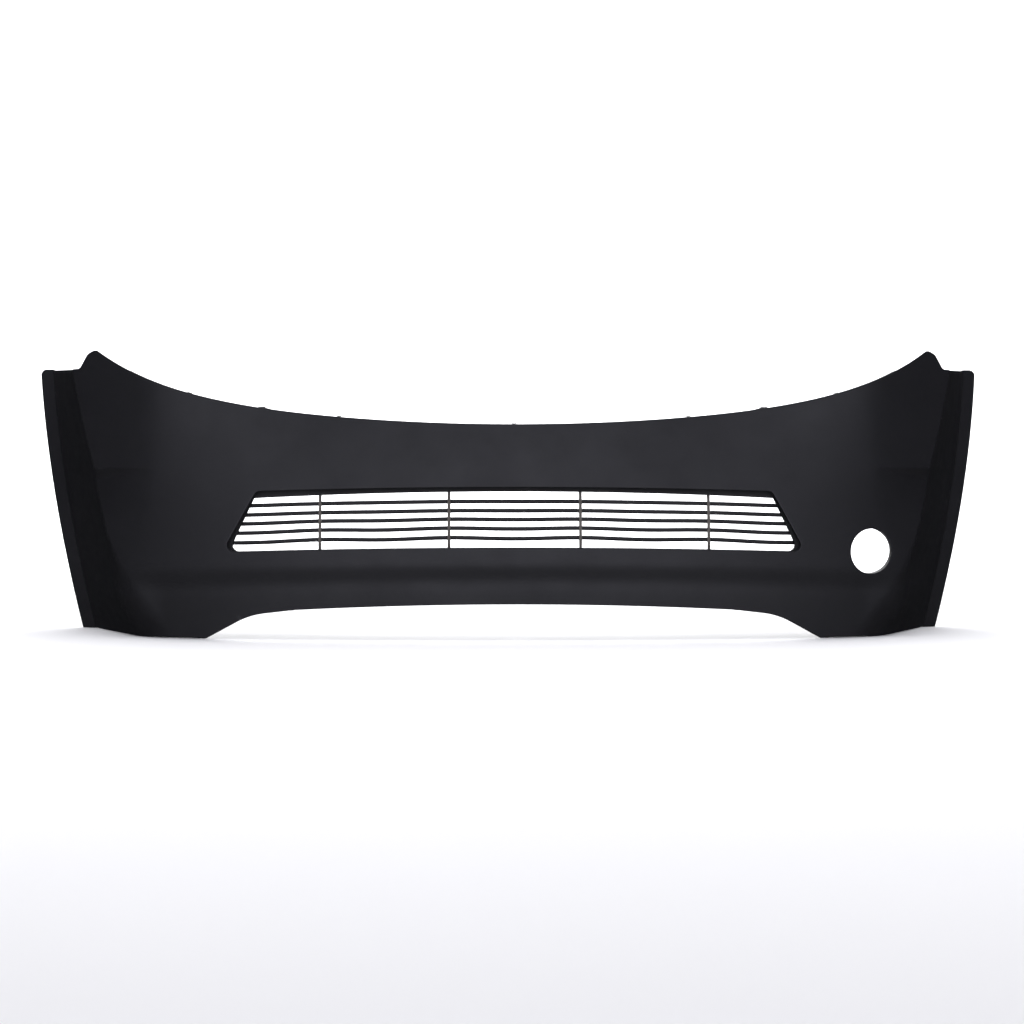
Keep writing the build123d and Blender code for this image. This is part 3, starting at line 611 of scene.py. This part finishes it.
# ---------------------------------------------------------------------------
# Materials
# ---------------------------------------------------------------------------
class Nodes:
    """Small helper to wire a material's nodes."""

    def __init__(self, name):
        self.material = bpy.data.materials.new(name)
        self.material.use_nodes = True
        self.tree = self.material.node_tree
        self.shader = self.tree.nodes["Principled BSDF"]
        self.where = self.tree.nodes.new("ShaderNodeTexCoord").outputs["Object"]

    def noise(self, scale, detail=2.0, rough=0.5, stretch=None):
        node = self.tree.nodes.new("ShaderNodeTexNoise")
        node.inputs["Scale"].default_value = scale
        node.inputs["Detail"].default_value = detail
        node.inputs["Roughness"].default_value = rough
        where = self.where
        if stretch:
            mapping = self.tree.nodes.new("ShaderNodeMapping")
            mapping.inputs["Scale"].default_value = stretch
            self.tree.links.new(where, mapping.inputs["Vector"])
            where = mapping.outputs["Vector"]
        self.tree.links.new(where, node.inputs["Vector"])
        return node.outputs["Fac"]

    def cells(self, scale):
        node = self.tree.nodes.new("ShaderNodeTexVoronoi")
        node.inputs["Scale"].default_value = scale
        self.tree.links.new(self.where, node.inputs["Vector"])
        return node.outputs["Distance"]

    def ramp(self, value, low, high, start=0.3, end=0.7):
        node = self.tree.nodes.new("ShaderNodeMapRange")
        node.inputs["From Min"].default_value = start
        node.inputs["From Max"].default_value = end
        node.inputs["To Min"].default_value = low
        node.inputs["To Max"].default_value = high
        self.tree.links.new(value, node.inputs["Value"])
        return node.outputs["Result"]

    def mix(self, factor, a, b):
        node = self.tree.nodes.new("ShaderNodeMix")
        node.data_type = "RGBA"
        for socket, value in (("A_Color", a), ("B_Color", b)):
            target = next(s for s in node.inputs if s.identifier == socket)
            if isinstance(value, tuple):
                target.default_value = (*value, 1.0)
            else:
                self.tree.links.new(value, target)
        self.tree.links.new(factor, next(s for s in node.inputs if s.identifier == "Factor_Float"))
        return next(s for s in node.outputs if s.identifier == "Result_Color")

    def math(self, operation, a, b):
        node = self.tree.nodes.new("ShaderNodeMath")
        node.operation = operation
        for socket, value in zip(node.inputs, (a, b)):
            if isinstance(value, (int, float)):
                socket.default_value = value
            else:
                self.tree.links.new(value, socket)
        return node.outputs["Value"]

    def edges(self, start, end):
        """0 on open surface and 1 on outer edges."""
        geometry = self.tree.nodes.new("ShaderNodeNewGeometry")
        return self.ramp(geometry.outputs["Pointiness"], 0.0, 1.0, start, end)

    def bump(self, *layers):
        """Layers of (height, strength, distance in metres), one on top of another."""
        last = None
        for height, strength, distance in layers:
            node = self.tree.nodes.new("ShaderNodeBump")
            node.inputs["Strength"].default_value = strength
            node.inputs["Distance"].default_value = distance
            self.tree.links.new(height, node.inputs["Height"])
            if last:
                self.tree.links.new(last, node.inputs["Normal"])
            last = node.outputs["Normal"]
        self.tree.links.new(last, self.shader.inputs["Normal"])

    def set(self, **sockets):
        for name, value in sockets.items():
            socket = self.shader.inputs[name.replace("_", " ")]
            if isinstance(value, (int, float)):
                socket.default_value = value
            elif isinstance(value, tuple):
                socket.default_value = (*value, 1.0)
            else:
                self.tree.links.new(value, socket)


def moulded_plastic(name, dark, light, roughness, edge_highlight_colour, grain=900.0, grain_depth=0.00012, spread=0.06):
    """Moulded plastic: a fine etched grain, slow changes of tone, and a painted highlight that makes outer
    edges a little lighter.
    """
    m = Nodes(name)
    slow = m.math("MULTIPLY", m.noise(5.0, 3.0), 0.6)
    tone = m.math("ADD", slow, m.math("MULTIPLY", m.noise(grain * 0.4, 1.0), 0.4))
    colour = m.mix(m.ramp(tone, 0.0, 1.0, 0.35, 0.65), dark, light)
    # painted highlight: outer edges, found by pointiness and broken up by noise, are mixed towards a lighter
    # colour
    painted_edge_highlight = m.math("MULTIPLY", m.edges(0.53, 0.62), m.ramp(m.noise(60.0, 4.0), 0.2, 0.9))
    colour = m.mix(painted_edge_highlight, colour, edge_highlight_colour)
    rough = m.ramp(m.noise(14.0, 4.0, 0.6), roughness - spread, roughness + spread)
    m.set(Base_Color=colour, Roughness=rough)
    m.bump((m.noise(46.0, 2.0), 0.10, 0.0006), (m.cells(grain), 0.35, grain_depth))
    return m.material


def bare_metal(name, dark, light, roughness, scratch=(1.0, 12.0, 1.0)):
    """Metal with fine drawn streaks."""
    m = Nodes(name)
    streak = m.noise(220.0, 3.0, 0.6, scratch)
    colour = m.mix(m.ramp(streak, 0.0, 1.0), dark, light)
    rough = m.ramp(m.noise(90.0, 4.0), roughness - 0.08, roughness + 0.10)
    m.set(Base_Color=colour, Metallic=1.0, Roughness=rough)
    m.bump((streak, 0.12, 0.00008), (m.noise(500.0, 2.0), 0.08, 0.00005))
    return m.material


def floor_material():
    m = Nodes("studio_floor")
    m.set(Base_Color=m.mix(m.noise(2.0), (0.90, 0.90, 0.905), (0.915, 0.915, 0.92)), Roughness=0.9)
    m.shader.inputs["Specular IOR Level"].default_value = 0.1
    return m.material


def make_materials():
    # the last colour given to each moulded plastic is its painted edge highlight
    skin = moulded_plastic("satin_black_moulding", (0.0048, 0.0048, 0.0062), (0.0066, 0.0065, 0.0082), 0.50,
                           (0.022, 0.022, 0.024))
    grille = moulded_plastic("grille_black", (0.0045, 0.0045, 0.005), (0.007, 0.007, 0.0075), 0.60,
                             (0.02, 0.02, 0.02))
    rib = moulded_plastic("rib_warm_grey", (0.060, 0.052, 0.046), (0.085, 0.075, 0.066), 0.55,
                          (0.13, 0.12, 0.11))
    sleeve = moulded_plastic("sleeve_grey", (0.085, 0.085, 0.087), (0.115, 0.115, 0.117), 0.45,
                             (0.2, 0.2, 0.2))
    bracket = moulded_plastic("bracket_filled_black", (0.014, 0.014, 0.015), (0.028, 0.028, 0.029), 0.7,
                              (0.07, 0.07, 0.07), grain=600.0)
    retainer = moulded_plastic("retainer_nylon", (0.012, 0.012, 0.012), (0.020, 0.020, 0.020), 0.42,
                               (0.05, 0.05, 0.05))
    rail = moulded_plastic("rail_coated_steel", (0.020, 0.020, 0.021), (0.034, 0.034, 0.035), 0.38,
                           (0.16, 0.15, 0.14), grain=380.0, grain_depth=0.00006)
    zinc = bare_metal("zinc_plated_steel", (0.42, 0.41, 0.36), (0.66, 0.65, 0.60), 0.34)
    brass = bare_metal("turned_brass", (0.52, 0.36, 0.13), (0.72, 0.52, 0.22), 0.28, (1.0, 1.0, 14.0))
    return {"skin": skin, "grille": grille, "rib": rib, "sleeve": sleeve, "bracket": bracket,
            "retainer": retainer, "rail": rail, "zinc": zinc, "brass": brass}


MATERIALS = make_materials()


# ---------------------------------------------------------------------------
# Grille
# ---------------------------------------------------------------------------
BLADE_Z = (237.6, 222.0, 207.0, 191.3, 174.8)
BLADE_SAG = (0.2, 0.5, 1.2, 1.8, 2.2)
BLADE_THICK, BLADE_BOW = 7.0, 7.3
BLADE_NEAR, BLADE_FAR = 18.0, 29.5
RIB_X, RIB_PITCH, RIB_WIDTH = (-329.5, -111.0, 111.0, 329.5), 218.5, 5.2
RIB_NEAR, RIB_FAR = 15.0, 24.0


def blade_z(index, x):
    sag = BLADE_SAG[index] * (1 - np.cos(2 * math.pi * (np.abs(x) - RIB_X[2]) / RIB_PITCH)) / 2
    return BLADE_Z[index] + BLADE_SAG[index] - BLADE_BOW * (x / GRILLE_X[0]) ** 2 - sag


def sweep(name, centres, across, up, section, material):
    """A closed bar: a section of (across, up) offsets carried along centres, with flat ends."""
    across, up = np.array(across, float), np.array(up, float)
    rings = [c + across * section[:, :1] + up * section[:, 1:] for c in centres]
    count = len(section)
    faces = []
    for i in range(len(rings) - 1):
        for k in range(count):
            n = (k + 1) % count
            faces.append((i * count + k, i * count + n, (i + 1) * count + n, (i + 1) * count + k))
    last = (len(rings) - 1) * count
    faces.append(tuple(range(count))[::-1])
    faces.append(tuple(last + k for k in range(count)))
    obj = add_mesh(name, np.concatenate(rings), faces, material)
    work = bmesh.new()
    work.from_mesh(obj.data)
    bmesh.ops.recalc_face_normals(work, faces=work.faces)
    work.to_mesh(obj.data)
    work.free()
    ends = len(obj.data.polygons) - 2
    for end in obj.data.polygons[ends:]:
        end.use_smooth = False
    return obj


def blade_section(depth, thick):
    """An aerofoil-like blade: a full rounded nose, and a thinner rounded tail."""
    nose_r, tail_r = thick / 2, thick * 0.32
    section = []
    for a in np.linspace(0, math.pi, 9):
        section.append((-depth / 2 + nose_r * (1 - math.sin(a)), nose_r * math.cos(a)))
    for a in np.linspace(0, math.pi, 7):
        section.append((depth / 2 - tail_r * (1 - math.sin(a)), -tail_r * math.cos(a)))
    return np.array(section)


def make_blade(index):
    z_end = blade_z(index, GRILLE_X[0])
    share = (GRILLE_TOP[1] - z_end) / (GRILLE_TOP[1] - GRILLE_LOW[1])
    reach = GRILLE_X[0] + (GRILLE_X[1] - GRILLE_X[0]) * share + 1.2
    xs = np.linspace(-reach, reach, 241)
    zs = blade_z(index, xs)
    middle = (BLADE_NEAR + BLADE_FAR) / 2
    centres = np.stack([xs, face_y(xs, zs) + middle, zs], -1)
    section = blade_section(BLADE_FAR - BLADE_NEAR, BLADE_THICK)
    return sweep(f"blade_{index + 1}", centres, (0, 1, 0), (0, 0, 1), section, MATERIALS["grille"])


def grille_edge(x, side):
    high, low = GRILLE_TOP if side > 0 else GRILLE_LOW
    return high + (low - high) * (x / (GRILLE_X[0] if side > 0 else GRILLE_X[1])) ** 2


def rounded_bar(width, depth, radius, steps=3):
    """A rectangular section with rounded corners."""
    points = []
    for sx, sy, start in ((1, 1, 0), (-1, 1, 90), (-1, -1, 180), (1, -1, 270)):
        for i in range(steps + 1):
            a = math.radians(start + 90 * i / steps)
            x, y = sx * (width / 2 - radius), sy * (depth / 2 - radius)
            points.append((x + radius * math.cos(a), y + radius * math.sin(a)))
    return np.array(points)


def upright(name, x, zs, back, section):
    """A bar that stands at x, at a distance behind the face that follows its lean."""
    xs = np.full(len(zs), x)
    centres = np.stack([xs, face_y(xs, zs) + back, zs], -1)
    return sweep(name, centres, (1, 0, 0), (0, 1, 0), section, MATERIALS["rib"])


def make_rib(number, x):
    """Upright rib: its front stands before the blades, and its notched rear shows only between them."""
    zs = np.linspace(grille_edge(x, -1) - 1.5, grille_edge(x, 1) + 1.5, 60)
    front = rounded_bar(RIB_WIDTH, BLADE_NEAR - RIB_NEAR - 0.6, 1.0)
    web = rounded_bar(RIB_WIDTH - 1.6, RIB_FAR - BLADE_NEAR + 0.4, 0.6)
    parts = [upright(f"rib_{number}", x, zs, (RIB_NEAR + BLADE_NEAR) / 2 - 0.2, front)]
    stops = sorted([zs[0]] + [float(blade_z(i, x)) for i in range(5)] + [zs[-1]])
    for low, high in zip(stops, stops[1:]):
        a = low + (BLADE_THICK / 2 + 0.3 if low > zs[0] else 0)
        b = high - (BLADE_THICK / 2 + 0.3 if high < zs[-1] else 0)
        parts.append(upright("rib_web", x, np.linspace(a, b, 6), (BLADE_NEAR + RIB_FAR) / 2 - 0.4, web))
    return join(parts)


def join(parts):
    """One object from several closed meshes."""
    work = bmesh.new()
    for part in parts:
        work.from_mesh(part.data)
    work.to_mesh(parts[0].data)
    work.free()
    for part in parts[1:]:
        mesh = part.data
        bpy.data.objects.remove(part)
        bpy.data.meshes.remove(mesh)
    return parts[0]


# ---------------------------------------------------------------------------
# The pieces
# ---------------------------------------------------------------------------
def place(obj, body, node):
    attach(obj, body)
    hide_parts(node)


place(make_fascia_mesh(MATERIALS["skin"]), BODY, "fascia")
for blade in range(5):
    place(make_blade(blade), BODY, f"grille_blade_{blade + 1}")
for rib, rib_x in enumerate(RIB_X, 1):
    place(make_rib(rib, rib_x), BODY, f"grille_rib_{rib}")

# CAD pieces that keep their own meshes, by the start of their names
CARRIED = {
    "grille_frame": "grille",
    "lamp_sleeve": "sleeve",
    "lamp_inserts": "brass",
    "upper_rail": "rail",
    "rail_rivets": "zinc",
    "grille_screws": "zinc",
    "fender_bracket": "bracket",
    "bracket_screws": "zinc",
    "arch_u_nuts": "zinc",
    "retainer": "retainer",
}
for node in list(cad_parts):
    style = next((CARRIED[start] for start in CARRIED if node.startswith(start)), None)
    if style is None:
        continue
    carried = bpy.data.objects[node]
    carried.data.materials.clear()
    carried.data.materials.append(MATERIALS[style])


# ---------------------------------------------------------------------------
# Studio and camera
# ---------------------------------------------------------------------------
FLOOR_REACH = 4800.0
SWEEP_Y, SWEEP_R = 4600.0, 1400.0  # where the floor starts to rise, and its bend's radius
BACKDROP_Z = 6000.0


def make_stage():
    """A white floor that rises into a backdrop well behind the cover. Glossy surfaces don't mirror it."""
    profile = [(-FLOOR_REACH, 0), (SWEEP_Y, 0)]
    for i in range(1, 13):
        a = math.pi / 2 * i / 12
        profile.append((SWEEP_Y + SWEEP_R * math.sin(a), SWEEP_R * (1 - math.cos(a))))
    profile.append((SWEEP_Y + SWEEP_R, BACKDROP_Z))
    points = [(x, y, z) for y, z in profile for x in (-FLOOR_REACH, FLOOR_REACH)]
    faces = [(2 * i, 2 * i + 1, 2 * i + 3, 2 * i + 2) for i in range(len(profile) - 1)]
    stage = add_mesh("studio_sweep", points, faces, floor_material())
    stage.visible_glossy = False


def area_light(name, place_mm, target_mm, size, watts, glossy=True):
    data = bpy.data.lights.new(name, "AREA")
    data.shape = "RECTANGLE"
    data.size, data.size_y = size[0] * MM, size[1] * MM
    data.energy = watts
    light = bpy.data.objects.new(name, data)
    light.location = Vector(place_mm) * MM
    aim = Vector(target_mm) * MM - light.location
    light.rotation_euler = aim.to_track_quat("-Z", "Y").to_euler()
    light.visible_camera = False
    light.visible_glossy = glossy
    bpy.context.scene.collection.objects.link(light)


CAMERA_BACK = 4490.0  # from the cover's middle to the camera
CAMERA_AZIMUTH = -1.0
CAMERA_HEIGHT = 273.7
CAMERA_TILT = 0.73  # degrees down
LENS = 88.0


def make_camera():
    data = bpy.data.cameras.new("camera")
    data.lens = LENS
    data.sensor_width = 36.0
    data.clip_end = 100.0
    camera = bpy.data.objects.new("camera", data)
    azimuth = math.radians(CAMERA_AZIMUTH)
    x, y = CAMERA_BACK * math.sin(azimuth), -CAMERA_BACK * math.cos(azimuth)
    camera.location = Vector((x, y, CAMERA_HEIGHT)) * MM
    camera.rotation_euler = (math.radians(90 - CAMERA_TILT), 0, azimuth)
    bpy.context.scene.collection.objects.link(camera)
    bpy.context.scene.camera = camera


ROOM_FRONT, ROOM_SIDE, ROOM_POWER = 1.25, 0.16, 5.0
ROOM_TINT = (0.88, 0.88, 1.0)
ROOM_BELOW = (-0.97, -0.72)  # the room's front glow fades between these slopes towards the floor underneath


def make_world():
    """A room that glows in front of the cover and is dim at its sides and behind. The camera sees white."""
    world = bpy.data.worlds.new("studio")
    world.use_nodes = True
    tree = world.node_tree
    background = tree.nodes["Background"]
    background.inputs["Color"].default_value = (*ROOM_TINT, 1.0)

    def calculate(operation, *values):
        node = tree.nodes.new("ShaderNodeMath")
        node.operation = operation
        for socket, value in zip(node.inputs, values):
            if isinstance(value, (int, float)):
                socket.default_value = value
            else:
                tree.links.new(value, socket)
        return node.outputs["Value"]

    where = tree.nodes.new("ShaderNodeTexCoord")
    parts = tree.nodes.new("ShaderNodeSeparateXYZ")
    tree.links.new(where.outputs["Generated"], parts.inputs["Vector"])
    x, y, z = (parts.outputs[axis] for axis in "XYZ")
    level = calculate("SQRT", calculate("ADD", calculate("MULTIPLY", x, x), calculate("MULTIPLY", y, y)))
    forward = calculate("MAXIMUM", calculate("MULTIPLY", y, -1.0), 0.0)
    ahead = calculate("DIVIDE", forward, calculate("MAXIMUM", level, 0.01))
    lobe = calculate("POWER", ahead, ROOM_POWER)
    fade = tree.nodes.new("ShaderNodeMapRange")
    fade.interpolation_type = "SMOOTHSTEP"
    fade.inputs["From Min"].default_value, fade.inputs["From Max"].default_value = ROOM_BELOW
    fade.inputs["To Min"].default_value = 0.15
    tree.links.new(z, fade.inputs["Value"])
    glow = calculate("MULTIPLY", calculate("MULTIPLY", lobe, fade.outputs["Result"]), ROOM_FRONT)
    flank = calculate("MULTIPLY", calculate("SUBTRACT", 1.0, y), ROOM_SIDE / 2)
    room = calculate("ADD", glow, flank)
    seen = tree.nodes.new("ShaderNodeLightPath").outputs["Is Camera Ray"]
    strength = calculate("ADD", calculate("MULTIPLY", room, calculate("SUBTRACT", 1.0, seen)), seen)
    tree.links.new(strength, background.inputs["Strength"])
    bpy.context.scene.world = world


make_stage()
make_world()
make_camera()
area_light("overhead", (0, 0, 3200), (0, 0, 0), (9000, 6000), 270, glossy=False)
area_light("rear_fill", (0, 3400, 2600), (0, 0, 250), (5000, 1600), 70)
area_light("backdrop", (0, 3200, 3000), (0, 6000, 900), (9000, 1500), 420, glossy=False)
bpy.context.scene.view_settings.view_transform = "Standard"
